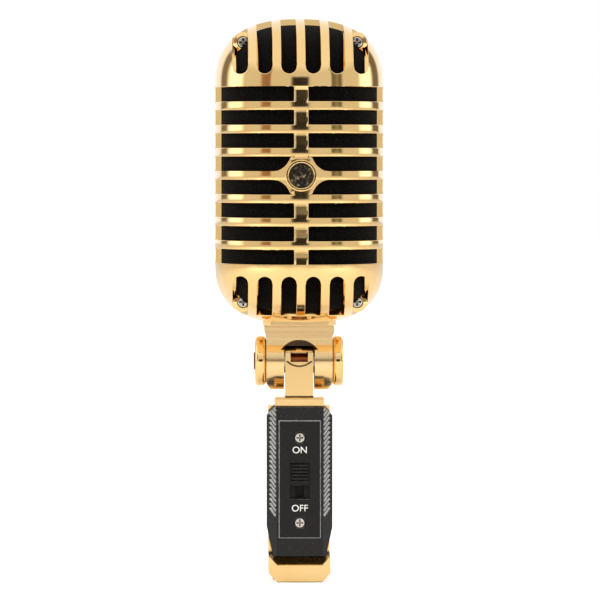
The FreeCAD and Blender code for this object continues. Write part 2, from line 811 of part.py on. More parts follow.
def tongue_line():
    middle = pivot_height - groove_arc_low + groove_arc_radius
    back = -tongue_half_depth + groove_arc_depth
    front = -tongue_half_depth - 1
    half = groove_arc_width / 2
    ring = rod_y(groove_arc_radius + half, front, back, 0, middle)
    ring = ring.cut(rod_y(groove_arc_radius - half, front - 1, back + 1, 0, middle))
    return ring.common(box(-clear, clear, front, back, 0, pivot_height + groove_arc_high))


def handle_column():
    """The upright of the casting behind the switch cover, sloped off at the top of its back."""
    w, c = handle_half_width, handle_corner
    outline = [(w, cover_back), (w, handle_back - c), (w - c, handle_back), (-w + c, handle_back),
               (-w, handle_back - c), (-w, cover_back)]
    slope = prism_x([(shoulder_half_depth, handle_top), (handle_back + 1, handle_top - back_slope_drop),
                     (handle_back + 1, handle_top + 1), (shoulder_half_depth, handle_top + 1)],
                    -clear, clear)
    return prism_z(outline, 0, handle_top).cut(slope)


def handle_core():
    """The rib inside the cover that carries the switch and takes the plate screws."""
    inset = cover_wall + seat_clearance
    core = prism_z(cover_outline(inset, cover_back + core_overlap), foot_height + inset, handle_top - inset)
    core = core.common(prism_y(cover_silhouette(inset), -clear, clear))
    return core.common(box(-core_half_width, core_half_width, -clear, clear, 0, handle_top))


def handle_foot():
    foot = prism_z(handle_octagon(handle_front, handle_half_width, handle_corner), 0, foot_height)
    rise = foot_height - foot_face_height
    slope = prism_x([(handle_front - past, foot_face_height - past),
                     (handle_front - past, foot_height + past),
                     (handle_front + rise + past, foot_height + past)], -clear, clear)
    return foot.cut(slope)


def handle_body():
    shoulder = box(-shoulder_half_width, shoulder_half_width, -shoulder_half_depth,
                   shoulder_half_depth, handle_top, shoulder_top)
    shoulder = shoulder.makeFillet(shoulder_rounding, [e for e in shoulder.Edges
                                                 if e.BoundBox.ZMin > shoulder_top - touch])
    body = fused([handle_column(), handle_core(), handle_foot(), shoulder, tongue()])
    corner_cuts = prism_y([(handle_half_width - handle_corner, 0), (handle_half_width + past, 0),
                           (handle_half_width + past, handle_corner + past)], -clear, clear)
    body = body.cut([corner_cuts, corner_cuts.mirror(V(0, 0, 0), V(1, 0, 0))])
    body = body.cut(rod_x(pivot_bolt_radius + turn_clearance, -clear, clear, 0, pivot_height))
    window_bottom_z = pivot_height - tongue_window_drop
    window = box(-tongue_window_half_width, tongue_window_half_width, -clear, 0,
                 window_bottom_z, window_bottom_z + tongue_window_height)
    return body.cut([window] + handle_cavities()).removeSplitter()


def handle_cavities():
    """The room for the switch and leads, and the bores for the insert, socket and screws."""
    inside = handle_half_width - handle_wall
    room_bottom = socket_height + socket_radius + handle_wall
    column_room = box(-inside, inside, cover_back + handle_wall,
                      handle_back - handle_wall - handle_corner / 2,
                      room_bottom, handle_top - back_slope_drop - handle_wall)
    half_room = switch_half_width + switch_room
    half_length = switch_length / 2 + switch_room
    space = box(-half_room, half_room, cover_front, cover_back + handle_wall + core_overlap,
                switch_middle - half_length, switch_middle + half_length)
    half_skirt = knob_half_width + knob_skirt_margin + switch_room
    skirt_room = box(-half_skirt, half_skirt, cover_front, switch_front,
                     window_bottom - knob_skirt_margin - switch_room,
                     window_top + knob_skirt_margin + switch_room)
    socket_bore = rod_y(socket_radius + seat_clearance, socket_insert_front, handle_back + 1,
                        0, socket_height)
    socket_room = rod_y(socket_room_radius, socket_insert_front - socket_room_depth,
                        socket_insert_front + past, 0, socket_height)
    lead_way = rod_z(lead_way_radius, socket_height, room_bottom + past, 0, lead_drop_y)
    insert_bore = rod_z(stand_insert_radius + seat_clearance, -past, stand_insert_length)
    stud_room = rod_z(stand_stud_room_radius, 0, stand_insert_length + stand_stud_room)
    cuts = [column_room, space, skirt_room, socket_bore, socket_room, lead_way, insert_bore, stud_room]
    for z in plate_screw_heights():
        cuts.append(rod_y(plate_screw_shank_radius + thread_clearance, cover_front,
                          cover_front + plate_screw_length + thread_clearance, 0, z))
    cuts.append(rod_z(socket_screw_radius + thread_clearance, -past, socket_height, 0, socket_screw_y))
    return cuts


# ---- switch ----
def cover_outline(inset, back):
    w = cover_half_width - inset
    front = cover_front + inset
    c = cover_corner
    return [(w, back), (w, front + c), (w - c, front), (-w + c, front), (-w, front + c), (-w, back)]


def cover_silhouette(inset):
    top = handle_top - inset
    bottom = foot_height + inset
    return mirror_pairs([(cover_top_half_width - inset, top),
                         (cover_half_width - inset, top - cover_top_chamfer),
                         (cover_half_width - inset, foot_height + cover_lip + cover_taper_height),
                         (cover_bottom_half_width - inset, foot_height + cover_lip),
                         (cover_bottom_half_width - cover_lip - inset, bottom)])


def serrations():
    """Slanting grooves down both front corners of the cover."""
    grooves = []
    depth = serration_depth
    half = serration_pitch * serration_width / 2
    reach = serration_half_length
    side = cover_corner / 2 + serration_shift / math.sqrt(2)
    step = cover_corner / 2 - serration_shift / math.sqrt(2)
    for k in range(serration_count):
        z = foot_height + serration_start + k * serration_pitch
        groove = prism([V(-reach, 0, z - half), V(-reach, depth, z), V(-reach, 0, z + half)],
                       V(2 * reach, 0, 0))
        groove.rotate(V(0, 0, z), V(0, 1, 0), -45)
        groove.rotate(V(0, 0, z), V(0, 0, 1), 45)
        groove.translate(V(cover_half_width - side, cover_front + step, 0))
        grooves += [groove, groove.mirror(V(0, 0, 0), V(1, 0, 0))]
    return grooves


def switch_cover():
    outer = prism_z(cover_outline(0, cover_back), foot_height, handle_top)
    outer = outer.common(prism_y(cover_silhouette(0), -clear, clear))
    inner = prism_z(cover_outline(cover_wall, cover_back + 1), foot_height - 1, handle_top + 1)
    inner = inner.common(prism_y(cover_silhouette(cover_wall), -clear, clear))
    cover = outer.cut(inner)
    recess = box(-plate_half_width, plate_half_width, cover_front - past, cover_front + plate_thickness,
                 plate_bottom, plate_top)
    opening = box(-window_half_width, window_half_width, cover_front - past, cover_back,
                  window_bottom, window_top)
    holes = [rod_y(plate_screw_shank_radius + thread_clearance, cover_front - past, cover_back, 0, z)
             for z in plate_screw_heights()]
    return cover.cut([recess, opening] + holes).cut(serrations())


def plate_screw_heights():
    return [plate_bottom + plate_screw_inset_bottom, plate_top - plate_screw_inset_top]


def switch_plate():
    gap = seat_clearance
    plate = box(-plate_half_width + gap, plate_half_width - gap, cover_front,
                cover_front + plate_thickness, plate_bottom + gap, plate_top - gap)
    rim = [e for e in plate.Edges if e.BoundBox.YMax < cover_front + touch]
    plate = plate.makeChamfer(plate_bevel, rim)
    opening = box(-window_half_width, window_half_width, cover_front - past, cover_back,
                  window_bottom, window_top)
    cuts = [opening]
    for z in plate_screw_heights():
        cuts.append(rod_y(plate_screw_shank_radius + thread_clearance, cover_front - past,
                          cover_back, 0, z))
        cuts.append(rod_y(plate_screw_head_radius + plate_screw_sink_margin, cover_front - past,
                          cover_front + plate_thickness / 2, 0, z))
    return plate.cut(cuts)


def switch_plate_screws():
    head_thickness = plate_screw_head_thickness
    seat = cover_front + plate_thickness / 2
    screws = [front_screw(0, seat - head_thickness, z, plate_screw_head_radius, head_thickness,
                          plate_screw_shank_radius, plate_screw_length)
              for z in plate_screw_heights()]
    return Part.makeCompound(screws)


def switch_knob():
    """The ridged slider with its skirt behind the window; it stands at the top, in the ON place."""
    front = cover_front - knob_proud
    skirt_front = cover_front + cover_wall + slide_clearance
    bottom = knob_top - knob_height
    block = box(-knob_half_width, knob_half_width, front, skirt_front, bottom, knob_top)
    pitch = knob_height / knob_ridges
    valleys = []
    for k in range(knob_ridges):
        z = bottom + (k + 0.5) * pitch
        half = pitch * knob_valley_width / 2
        valleys.append(prism_x([(front, z - half), (front + knob_valley_depth, z), (front, z + half)],
                               -clear, clear))
    skirt = box(-knob_half_width - knob_skirt_margin, knob_half_width + knob_skirt_margin,
                skirt_front, skirt_front + knob_skirt_thickness,
                bottom - knob_skirt_margin, knob_top + knob_skirt_margin)
    return fused([block.cut(valleys), skirt])


def slide_switch_body():
    """Metal-cased slide switch on the inside of the cover."""
    half = switch_length / 2
    body = box(-switch_half_width, switch_half_width, switch_front, switch_back,
               switch_middle - half, switch_middle + half)
    slot = box(-switch_slot_half_width, switch_slot_half_width, switch_front - past,
               switch_front + switch_slot_depth, knob_top - knob_height - switch_travel, knob_top)
    return body.cut(slot)


def switch_stem():
    """The moving contact carrier, joined to the slider through the slot of the switch."""
    z = knob_top - knob_height / 2
    return box(-stem_half_width, stem_half_width, switch_front - slide_clearance,
               switch_front + stem_depth, z - stem_half_height, z + stem_half_height)


def switch_terminals():
    terminals = []
    for k in (-1, 0, 1):
        for x in (-terminal_spacing / 2, terminal_spacing / 2):
            z = switch_middle + k * terminal_spacing
            half = terminal_size / 2
            terminals.append(box(x - half, x + half, switch_back, switch_back + terminal_length,
                                 z - half, z + half))
    return Part.makeCompound(terminals)


# ---- cable socket and stand thread ----
def xlr_shell():
    shell = rod_y(socket_radius, socket_insert_front, socket_end, 0, socket_height)
    rim = [e for e in shell.Edges if e.BoundBox.YMin > socket_end - touch]
    shell = shell.makeFillet(socket_rounding, rim[:1])
    shell = shell.cut(rod_y(socket_bore_radius, socket_insert_front - past, socket_end + past,
                            0, socket_height))
    key = rod_z(socket_screw_radius + thread_clearance, -past, socket_height, 0, socket_screw_y)
    return shell.cut(key)


def pin_places():
    places = []
    for degrees in (45, 135, 270):
        angle = math.radians(degrees)
        places.append((pin_circle_radius * math.cos(angle),
                       socket_height + pin_circle_radius * math.sin(angle)))
    return places


def xlr_insert():
    insert = rod_y(socket_bore_radius - seat_clearance, socket_insert_front,
                   socket_insert_front + socket_insert_depth, 0, socket_height)
    pins = [rod_y(pin_radius + thread_clearance, socket_insert_front - past, socket_end, x, z)
            for x, z in pin_places()]
    key = rod_z(socket_screw_radius + thread_clearance, -past, socket_height - socket_key_drop,
                0, socket_screw_y)
    return insert.cut(pins).cut(key)


def xlr_pins():
    pins = []
    for x, z in pin_places():
        pin = rod_y(pin_radius, socket_insert_front - pin_tail, socket_end - pin_recess, x, z)
        tip = [e for e in pin.Edges if e.BoundBox.YMin > socket_end - pin_recess - touch]
        pins.append(pin.makeFillet(pin_rounding, tip[:1]))
    return Part.makeCompound(pins)


def xlr_screw():
    """Grub screw from below that holds the socket in the casting."""
    tip = socket_height - socket_bore_radius + socket_screw_bite
    foot = socket_screw_inset_z
    half_slot = socket_screw_slot_width / 2
    screw = rod_z(socket_screw_radius, foot, tip, 0, socket_screw_y)
    slot = box(-clear, clear, socket_screw_y - half_slot, socket_screw_y + half_slot, 0,
               foot + socket_screw_slot_depth)
    return screw.cut(slot)


def stand_thread_insert():
    insert = rod_z(stand_insert_radius, 0, stand_insert_length)
    return insert.cut(rod_z(stand_bore_radius, -past, stand_insert_length + past))


# ---- leads ----
def capsule_lead():
    back = capsule_front + capsule_depth
    run = back + lead_bend_radius + capsule_lead_straight
    exit_height = head_middle - capsule_lead_drop
    route = [V(0, back, exit_height), V(0, run, exit_height), V(0, run, foot_top + capsule_lead_turn),
             V(0, bracket_thickness / 2 + lead_radius + capsule_lead_gap, foot_top + capsule_lead_end)]
    return tube(route, lead_radius, lead_bend_radius)


def handle_lead():
    start = switch_back + terminal_length + handle_lead_gap
    route = [V(0, start, switch_middle), V(0, lead_drop_y, switch_middle),
             V(0, lead_drop_y, socket_height + socket_room_radius)]
    return tube(route, lead_radius, lead_bend_radius)


def build():
    return {
        "front_grille": front_grille(),
        "rear_grille": rear_grille(),
        "housing_screws": housing_screws(),
        "badge_ring": badge_ring(),
        "badge_disc": badge_disc(),
        "front_foam": foam(True),
        "rear_foam": foam(False),
        "capsule_body": capsule_body(),
        "capsule_grille": capsule_grille(),
        "diaphragm": diaphragm(),
        "voice_coil": voice_coil(),
        "pole_piece": pole_piece(),
        "magnet": magnet(),
        "magnet_cup": magnet_cup(),
        "capsule_isolator": capsule_isolator(),
        "capsule_bracket": capsule_bracket(),
        "capsule_lead": capsule_lead(),
        "yoke_flange": yoke_flange(),
        "yoke_screws": yoke_screws(),
        "swivel_yoke": swivel_yoke(),
        "friction_washers": friction_washers(),
        "pivot_cap_left": pivot_cap(-1),
        "pivot_cap_right": pivot_cap(1),
        "pivot_bolt": pivot_bolt(),
        "pivot_nut": pivot_nut(),
        "handle_body": handle_body(),
        "switch_cover": switch_cover(),
        "switch_plate": switch_plate(),
        "switch_plate_screws": switch_plate_screws(),
        "switch_knob": switch_knob(),
        "switch_stem": switch_stem(),
        "slide_switch_body": slide_switch_body(),
        "switch_terminals": switch_terminals(),
        "xlr_shell": xlr_shell(),
        "xlr_insert": xlr_insert(),
        "xlr_pins": xlr_pins(),
        "xlr_screw": xlr_screw(),
        "stand_thread_insert": stand_thread_insert(),
        "handle_lead": handle_lead(),
    }


os.makedirs("parts", exist_ok=True)
for name, shape in build().items():
    if not shape.isValid():
        print("not valid:", name)
    shape.exportStep("parts/" + name + ".step")
    box_ = shape.BoundBox
    print(f"{name:22s} solids {len(shape.Solids)}  volume {shape.Volume:10.2f}")
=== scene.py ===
import bmesh
import bpy
import json
import math
import random
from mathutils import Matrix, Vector

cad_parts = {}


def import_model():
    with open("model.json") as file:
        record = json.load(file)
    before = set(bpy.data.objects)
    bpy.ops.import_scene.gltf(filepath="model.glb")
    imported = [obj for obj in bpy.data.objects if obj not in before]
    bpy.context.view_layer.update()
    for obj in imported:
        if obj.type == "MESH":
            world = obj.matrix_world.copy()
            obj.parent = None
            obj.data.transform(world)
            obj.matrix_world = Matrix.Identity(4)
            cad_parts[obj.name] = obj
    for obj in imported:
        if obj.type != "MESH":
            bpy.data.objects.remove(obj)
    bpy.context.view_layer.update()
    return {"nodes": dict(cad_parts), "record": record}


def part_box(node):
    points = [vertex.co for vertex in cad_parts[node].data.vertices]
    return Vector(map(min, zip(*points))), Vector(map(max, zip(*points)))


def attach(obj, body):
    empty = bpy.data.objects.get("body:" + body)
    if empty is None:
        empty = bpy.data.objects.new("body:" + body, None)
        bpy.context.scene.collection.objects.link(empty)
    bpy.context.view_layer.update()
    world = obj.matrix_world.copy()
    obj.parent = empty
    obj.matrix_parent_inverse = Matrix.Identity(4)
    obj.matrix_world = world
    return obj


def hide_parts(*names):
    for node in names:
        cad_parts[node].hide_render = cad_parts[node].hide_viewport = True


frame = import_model()

MM = 0.001
BODIES = frame["record"]["behaviour"]["bodies"]
BODY_OF = {node: body for body, nodes in BODIES.items() for node in nodes}

# ---- head housing, the same sizes as the frame's half shells ----
ROUNDNESS = 2.5
HALF_WIDTH = 28.0 * MM
HALF_DEPTH = 39.0 * MM
WALL = 2.1 * MM
CROWN_RISE = 22.7 * MM
LOWER_RISE = 20.5 * MM
LOWER_HEIGHT = 19.1 * MM
SLOT_ROWS = 8
SLOT_PITCH = 7.6 * MM
SLOT_HEIGHT = 4.75 * MM
SLOT_MARGIN = 0.225 * MM
CENTRE_BAR = 4.7 * MM
BAND = 3.0 * MM
BAND_RECESS = 0.35 * MM
SEAM = 0.05 * MM
FIN_SLOTS = 6
FIN_WIDTH = 5.0 * MM
FIN_PITCH = 7.9 * MM
UPPER_FIN_START = 4.0 * MM
LOWER_FIN_START = 3.8 * MM
LOWER_FIN_END = 17.0 * MM
FLARE_X = 9.7 * MM
FLARE_Z = 7.7 * MM
FLARE_RADIUS = 6.35 * MM
FLARE_INNER_X = 3.62 * MM
BAR_CROWN = 0.05 * MM
EDGE_ROUND = 0.22 * MM
END_DRAFT = 0.24 * MM
BOSS_RADIUS = 3.4 * MM
BOSS_FRONT = 20.0 * MM
BOSS_SOFT = 0.35 * MM
BORE_RADIUS = 1.98 * MM
BORE_DEPTH = 1.1 * MM
BORE_LIP = 0.15 * MM
CORNER_X = 18.75 * MM
UPPER_CORNER_RISE = 14.5 * MM
LOWER_CORNER_DROP = 12.5 * MM

# ---- foam liner ----
FOAM_GAP = 0.02 * MM
FOAM_THICKNESS = 3.6 * MM
FOAM_SEAM = 0.05 * MM
FOAM_GRAIN = (-0.10, 0.06)
FOAM_ACROSS = 90
FOAM_ALONG = 150
FOAM_LOW_SHARE = 0.22
FOAM_HIGH_SHARE = 0.78

# ---- arched recess of the yoke, painted with shade; the edge round it stays polished ----
ARCH_HALF_WIDTH = 6.1 * MM
ARCH_CROWN = 7.25 * MM
PASSAGE_DEPTH = 7.4 * MM

# ---- switch cover ----
SERRATION_BACK = -10.8 * MM
PLATE_BORDER = 6.3 * MM
WORD_HEIGHT = 2.2 * MM
WORD_INSET = 10.0 * MM

# ---- mesh work ----
MERGE = 2e-6
FLAT_ANGLE = math.radians(0.8)
SOFT_ANGLE = math.radians(30)
ROUND_SEGMENTS = 3
SHARP_TURN = 0.7

STRAIGHT_HALF = (SLOT_ROWS - 1) / 2 * SLOT_PITCH + SLOT_HEIGHT / 2 + SLOT_MARGIN
HEAD_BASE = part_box("front_grille")[0][2]
HEAD_MIDDLE = HEAD_BASE + LOWER_HEIGHT + STRAIGHT_HALF

# ---- picture ----
CAMERA_DISTANCE = 1.65
CAMERA_HEIGHT = 0.144
AIM_HEIGHT = 0.0932
AIM_SIDE = 0.00033
TURN = math.radians(1.1)
VIEW_WIDTH = 0.2
SENSOR = 36.0
FLOOR_GLOW = 0.22
LIGHT_AIM = (0, 0, 0.12)


# ======================= materials =======================
def new_material(name):
    material = bpy.data.materials.new(name)
    material.use_nodes = True
    nodes = material.node_tree.nodes
    return material, nodes, material.node_tree.links, nodes["Principled BSDF"]


def object_noise(nodes, links, scale, detail=3.0, stretch=(1, 1, 1)):
    """Noise over the object's own coordinates, in metres."""
    place = nodes.new("ShaderNodeTexCoord")
    mapping = nodes.new("ShaderNodeMapping")
    mapping.inputs["Scale"].default_value = stretch
    noise = nodes.new("ShaderNodeTexNoise")
    noise.inputs["Scale"].default_value = scale
    noise.inputs["Detail"].default_value = detail
    links.new(place.outputs["Object"], mapping.inputs["Vector"])
    links.new(mapping.outputs["Vector"], noise.inputs["Vector"])
    return noise


def ramp(nodes, links, source, stops):
    node = nodes.new("ShaderNodeValToRGB")
    elements = node.color_ramp.elements
    while len(elements) < len(stops):
        elements.new(0.5)
    for element, (place, colour) in zip(elements, stops):
        element.position = place
        element.color = (*colour, 1.0)
    links.new(source, node.inputs["Fac"])
    return node


def grey(value):
    return (value, value, value)


def put(links, socket, value):
    """Links an output to a socket, or sets the socket to a constant."""
    if isinstance(value, bpy.types.NodeSocket):
        links.new(value, socket)
    else:
        socket.default_value = value


def mixed(nodes, links, factor, first, second, blend="MIX"):
    """The colour between first and second; each is an output or a constant."""
    node = nodes.new("ShaderNodeMix")
    node.data_type = "RGBA"
    node.blend_type = blend
    put(links, node.inputs["Factor"], factor)
    put(links, node.inputs["A"], first)
    put(links, node.inputs["B"], second)
    return node.outputs["Result"]


def computed(nodes, links, operation, *values):
    """The result of a Math node, whose inputs are outputs or constants."""
    node = nodes.new("ShaderNodeMath")
    node.operation = operation
    for socket, value in zip(node.inputs, values):
        put(links, socket, value)
    return node.outputs[0]


def surface(name, dark, light, rough, metallic=0.0, scale=400.0, bump=0.0, bump_scale=2000.0,
            stretch=(1, 1, 1), specular=0.5, painted_shade_reach=0.0):
    """A material whose colour, roughness and relief vary over the piece.

    The last argument is the reach, in metres, within which corners and recesses get painted shade: ambient
    occlusion darkens their colour.
    """
    material, nodes, links, shader = new_material(name)
    tone = object_noise(nodes, links, scale, 4.0, stretch)
    colour = ramp(nodes, links, tone.outputs["Fac"], [(0.3, dark), (0.7, light)])
    links.new(colour.outputs["Color"], shader.inputs["Base Color"])
    gloss = ramp(nodes, links, tone.outputs["Fac"], [(0.3, grey(rough[0])), (0.7, grey(rough[1]))])
    links.new(gloss.outputs["Color"], shader.inputs["Roughness"])
    shader.inputs["Metallic"].default_value = metallic
    shader.inputs["Specular IOR Level"].default_value = specular
    # painted shade: ambient occlusion darkens the colour in corners and recesses
    if painted_shade_reach:
        shade_occlusion = nodes.new("ShaderNodeAmbientOcclusion")
        shade_occlusion.inputs["Distance"].default_value = painted_shade_reach
        depth = ramp(nodes, links, shade_occlusion.outputs["AO"], [(0.55, grey(0.03)), (0.9, grey(1.0))])
        shade = mixed(nodes, links, 1.0, colour.outputs["Color"], depth.outputs["Color"], "MULTIPLY")
        links.new(shade, shader.inputs["Base Color"])
    if bump:
        relief = object_noise(nodes, links, bump_scale, 3.0, stretch)
        node = nodes.new("ShaderNodeBump")
        node.inputs["Strength"].default_value = bump
        node.inputs["Distance"].default_value = 0.0001
        links.new(relief.outputs["Fac"], node.inputs["Height"])
        links.new(node.outputs["Normal"], shader.inputs["Normal"])
    return material


GOLD = surface("polished_gold", (0.90, 0.62, 0.27), (0.95, 0.69, 0.33), (0.05, 0.09), 1.0, 60, 0.015, 500)
GOLD_BRUSHED = surface("brushed_gold", (0.84, 0.60, 0.30), (0.93, 0.70, 0.38), (0.16, 0.30), 1.0, 300,
                       0.06, 1400, (0.02, 4, 4))
# cast gold with painted shade in its corners and recesses
GOLD_SATIN = surface("cast_gold", (0.86, 0.60, 0.27), (0.93, 0.68, 0.33), (0.08, 0.15), 1.0, 90, 0.04, 900,
                     painted_shade_reach=0.0006)
# painted shade: dark brown metal for the shade in the yoke's arched recess and passage
SHADOWED = surface("painted_shade_recess", (0.055, 0.035, 0.022), (0.12, 0.075, 0.045), (0.28, 0.4), 0.9, 300,
                   0.1, 900)
# painted shade: the bolt's dark red-brown stands in for the shade inside the window of the tongue
SHADED_BOLT = surface("bolt_painted_shade", (0.20, 0.065, 0.022), (0.32, 0.11, 0.04), (0.16, 0.26), 1.0, 300, 0.05, 900)
BLACK = surface("black_moulding", (0.006, 0.006, 0.0065), (0.010, 0.010, 0.011), (0.20, 0.30), 0.0, 500,
                0.06, 2500, specular=0.28)
BLACK_PLATE = surface("black_plate", (0.004, 0.004, 0.0045), (0.007, 0.007, 0.008), (0.10, 0.18), 0.0, 300,
                      0.02, 2500, specular=0.22)
STEEL = surface("turned_steel", (0.50, 0.50, 0.50), (0.66, 0.66, 0.66), (0.22, 0.36), 1.0, 500, 0.06, 2500)
# nickel screws with painted shade in their recesses
SCREW = surface("nickel_screw", (0.60, 0.57, 0.54), (0.76, 0.73, 0.70), (0.14, 0.26), 1.0, 700, 0.08, 2500,
                painted_shade_reach=0.0007)
DARK_METAL = surface("dark_metal", (0.010, 0.010, 0.011), (0.020, 0.020, 0.021), (0.35, 0.5), 0.0, 500,
                     0.1, 2500, specular=0.15)
BRASS = surface("thread_brass", (0.55, 0.38, 0.16), (0.70, 0.50, 0.22), (0.20, 0.34), 1.0, 500, 0.06, 2500)
COPPER = surface("coil_copper", (0.55, 0.22, 0.10), (0.72, 0.32, 0.15), (0.24, 0.38), 1.0, 600, 0.2, 4000,
                 (1, 12, 1))
PLASTIC = surface("capsule_plastic", (0.025, 0.025, 0.028), (0.040, 0.040, 0.044), (0.45, 0.6), 0.0, 500,
                  0.12, 3000)
MEMBRANE = surface("clear_membrane", (0.40, 0.31, 0.14), (0.56, 0.46, 0.24), (0.12, 0.22), 0.0, 300, 0.1, 900)
MAGNET = surface("magnet_alloy", (0.20, 0.20, 0.21), (0.34, 0.34, 0.36), (0.35, 0.5), 1.0, 600, 0.08, 2500)
RUBBER = surface("soft_rubber", (0.012, 0.012, 0.012), (0.022, 0.022, 0.022), (0.6, 0.75), 0.0, 500,
                 0.2, 3000)
SHEATH = surface("lead_sheath", (0.06, 0.06, 0.065), (0.10, 0.10, 0.11), (0.42, 0.55), 0.0, 500, 0.1, 3000)
# painted highlight: a pale grey for facets that would catch the light
PAINTED_HIGHLIGHT = surface("painted_highlight", (0.20, 0.20, 0.20), (0.34, 0.34, 0.33), (0.25, 0.35), 0.0, 900,
                      0.05, 2500)
WHITE_PRINT = surface("white_print", (0.62, 0.62, 0.60), (0.78, 0.78, 0.76), (0.4, 0.55), 0.0, 900, 0.1, 3000)


def foam_material():
    """Open-cell foam with fine fibres: nearly black, with a faint sheen."""
    material, nodes, links, shader = new_material("black_foam")
    cells = object_noise(nodes, links, 2600.0, 6.0, (1, 1, 0.5))
    colour = ramp(nodes, links, cells.outputs["Fac"],
                  [(0.38, (0.0012, 0.0011, 0.0010)), (0.62, (0.0040, 0.0036, 0.0032)),
                   (0.80, (0.016, 0.014, 0.012))])
    links.new(colour.outputs["Color"], shader.inputs["Base Color"])
    shader.inputs["Roughness"].default_value = 0.92
    shader.inputs["Specular IOR Level"].default_value = 0.03
    shader.inputs["Sheen Weight"].default_value = 0.02
    bump = nodes.new("ShaderNodeBump")
    bump.inputs["Strength"].default_value = 0.8
    bump.inputs["Distance"].default_value = 0.0003
    links.new(cells.outputs["Fac"], bump.inputs["Height"])
    links.new(bump.outputs["Normal"], shader.inputs["Normal"])
    return material


def badge_material():
    """Dark glassy enamel with a marbled body under the gloss."""
    material, nodes, links, shader = new_material("badge_enamel")
    marble = object_noise(nodes, links, 420.0, 5.0)
    marble.inputs["Distortion"].default_value = 2.2
    colour = ramp(nodes, links, marble.outputs["Fac"],
                  [(0.46, (0.006, 0.005, 0.004)), (0.60, (0.045, 0.033, 0.018)),
                   (0.70, (0.24, 0.19, 0.11))])
    links.new(colour.outputs["Color"], shader.inputs["Base Color"])
    shader.inputs["Roughness"].default_value = 0.12
    shader.inputs["Coat Weight"].default_value = 0.6
    return material


FOAM = foam_material()
BADGE = badge_material()


# ======================= mesh helpers =======================
def add_object(name, mesh, material):
    mesh.materials.clear()
    mesh.materials.append(material)
    piece = bpy.data.objects.new(name, mesh)
    bpy.context.scene.collection.objects.link(piece)
    return piece


def shade_smooth(mesh):
    mesh.polygons.foreach_set("use_smooth", [True] * len(mesh.polygons))


def applied(piece):
    """Puts the result of the modifiers into the piece's own mesh."""
    graph = bpy.context.evaluated_depsgraph_get()
    mesh = bpy.data.meshes.new_from_object(piece.evaluated_get(graph))
    old = piece.data
    piece.modifiers.clear()
    piece.data = mesh
    bpy.data.meshes.remove(old)
    return piece


def softened(name, node, material, width):
    """A copy of a frame node with its edges rounded, in place of the node."""
    source = frame["nodes"][node]
    bm = bmesh.new()
    bm.from_mesh(source.data)
    bmesh.ops.remove_doubles(bm, verts=bm.verts, dist=MERGE)
    bmesh.ops.dissolve_limit(bm, angle_limit=FLAT_ANGLE, verts=bm.verts, edges=bm.edges)
    mesh = bpy.data.meshes.new(name)
    bm.to_mesh(mesh)
    bm.free()
    shade_smooth(mesh)
    piece = add_object(name, mesh, material)
    bevel = piece.modifiers.new("round", "BEVEL")
    bevel.width = width
    bevel.segments = ROUND_SEGMENTS
    bevel.limit_method = "ANGLE"
    bevel.angle_limit = SOFT_ANGLE
    weigh = piece.modifiers.new("weigh", "WEIGHTED_NORMAL")
    weigh.keep_sharp = True
    applied(piece)
    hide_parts(node)
    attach(piece, BODY_OF[node])
    return piece


def lathe(bm, profile, centre, segments=48):
    """Turns (radius, y) pairs about an axis along Y through centre (x, z)."""
    rings = []
    for radius, y in profile:
        if radius < 1e-7:
            rings.append([bm.verts.new((centre[0], y, centre[1]))])
            continue
        ring = []
        for k in range(segments):
            angle = 2 * math.pi * k / segments
            ring.append(bm.verts.new((centre[0] + radius * math.cos(angle), y,
                                      centre[1] + radius * math.sin(angle))))
        rings.append(ring)
    for first, second in zip(rings, rings[1:]):
        for k in range(segments):
            n = (k + 1) % segments
            corners = [first[k % len(first)], first[n % len(first)],
                       second[n % len(second)], second[k % len(second)]]
            unique = list(dict.fromkeys(corners))
            if len(unique) > 2:
                bm.faces.new(unique)


# ======================= head shells =======================
def power(value, exponent):
    return math.copysign(abs(value) ** exponent, value)


def column_places():
    """Distances from the middle plane at which the half shell has a column of points."""
    half_fin = FIN_WIDTH / 2
    places = {0.0, CENTRE_BAR / 2, FLARE_INNER_X, FLARE_X}
    for k in range(FIN_SLOTS // 2):
        middle = (k + 0.5) * FIN_PITCH
        for step in range(9):
            places.add(middle - half_fin * math.cos(math.pi * step / 8))
        if k:
            places.update((middle - half_fin - FIN_PITCH + FIN_WIDTH + 0.7 * MM * s) for s in (1, 2, 3))
    places.update((0.7 * MM, FIN_PITCH / 2 + half_fin))
    last = (FIN_SLOTS / 2 - 0.5) * FIN_PITCH + half_fin
    start = math.asin((last / HALF_WIDTH) ** (ROUNDNESS / 2))
    places.update(HALF_WIDTH * math.sin(start + (math.pi / 2 - start) * s / 16) ** (2 / ROUNDNESS)
                  for s in range(1, 13))
    ordered = sorted(places)
    kept = [ordered[0]]
    for place in ordered[1:]:
        if place - kept[-1] > 0.02 * MM:
            kept.append(place)
    return kept


def columns():
    """All columns from left to right: (x, plan scale, recess)."""
    def scale_at(x):
        return max(1e-9, 1 - (abs(x) / HALF_WIDTH) ** ROUNDNESS) ** (1 / ROUNDNESS)

    def x_at(y):
        return HALF_WIDTH * (1 - (y / HALF_DEPTH) ** ROUNDNESS) ** (1 / ROUNDNESS)

    edge = x_at(BAND)
    half = [(x, scale_at(x), 0.0) for x in column_places() if x < edge - 0.02 * MM]
    half.append((edge, BAND / HALF_DEPTH, 0.0))
    for y in (BAND, BAND * 0.7, BAND * 0.4, BAND * 0.15, SEAM):
        half.append((x_at(y), y / HALF_DEPTH, BAND_RECESS))
    left = [(-x, s, r) for x, s, r in reversed(half) if x > 0]
    return left + half


def fin_offset(x):
    """Distance of x from the middle of the nearest fin slot."""
    nearest = (round(abs(x) / FIN_PITCH - 0.5) + 0.5) * FIN_PITCH
    nearest = min(nearest, (FIN_SLOTS / 2 - 0.5) * FIN_PITCH)
    return abs(abs(x) - nearest)


